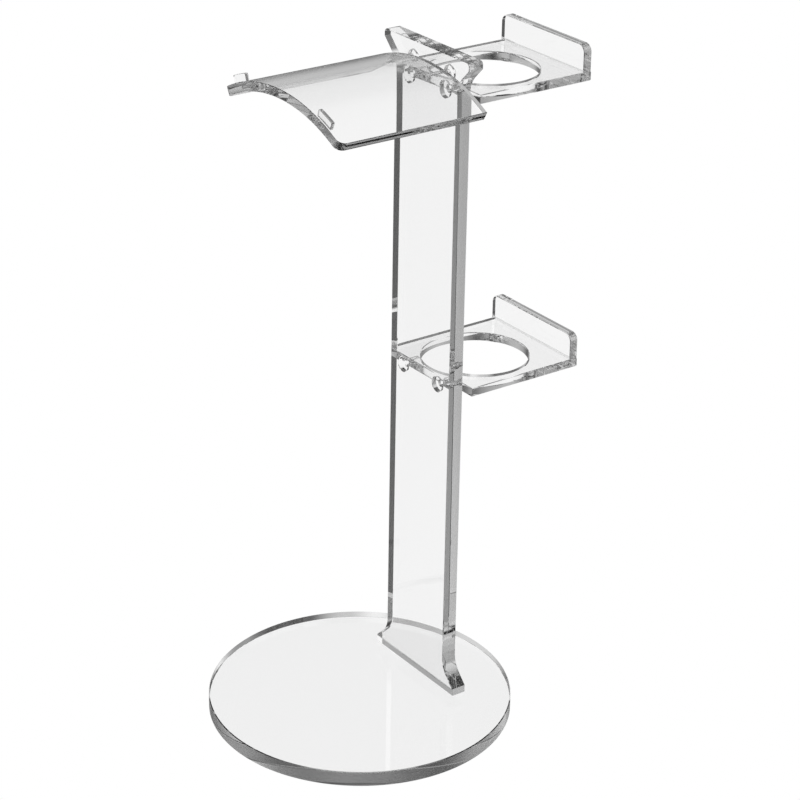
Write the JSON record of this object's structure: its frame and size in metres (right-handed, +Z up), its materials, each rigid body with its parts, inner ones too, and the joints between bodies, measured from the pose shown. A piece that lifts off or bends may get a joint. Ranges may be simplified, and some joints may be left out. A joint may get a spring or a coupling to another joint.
{
  "type": "hair dryer holder",
  "caption": "Free-standing clear acrylic stand: round base, flat flared upright, arched saddle for a hair dryer at the front and lipped trays with round holes for nozzles at the back.",
  "frame": {"origin": "centre of the base disc's flat underside", "axes": "+Z up, -Y towards the saddle (front), +Y towards the trays (back), +X to the right of someone facing the saddle"},
  "size_m": [0.19, 0.2274, 0.4225],
  "materials": {
    "clear_acrylic_thick": "clear cast acrylic sheet, 10 mm, polished faces and flame-polished edges",
    "clear_acrylic_thin": "clear cast acrylic sheet, nominal 6 mm, polished faces and edges",
    "clear_screw": "clear moulded plastic, glossy"
  },
  "bodies": {
    "root": {"base_disc": "clear_acrylic_thick", "upright_post": "clear_acrylic_thick", "saddle_rest": "clear_acrylic_thin", "saddle_stop_left": "clear_acrylic_thin", "saddle_stop_right": "clear_acrylic_thin", "upper_tray_plate": "clear_acrylic_thin", "upper_tray_lip": "clear_acrylic_thin", "upper_tray_screw_left": "clear_screw", "upper_tray_screw_right": "clear_screw", "lower_tray_plate": "clear_acrylic_thin", "lower_tray_lip": "clear_acrylic_thin", "lower_tray_screw_left": "clear_screw", "lower_tray_screw_right": "clear_screw", "saddle_screw_left": "clear_screw", "saddle_screw_right": "clear_screw"}
  },
  "joints": []
}
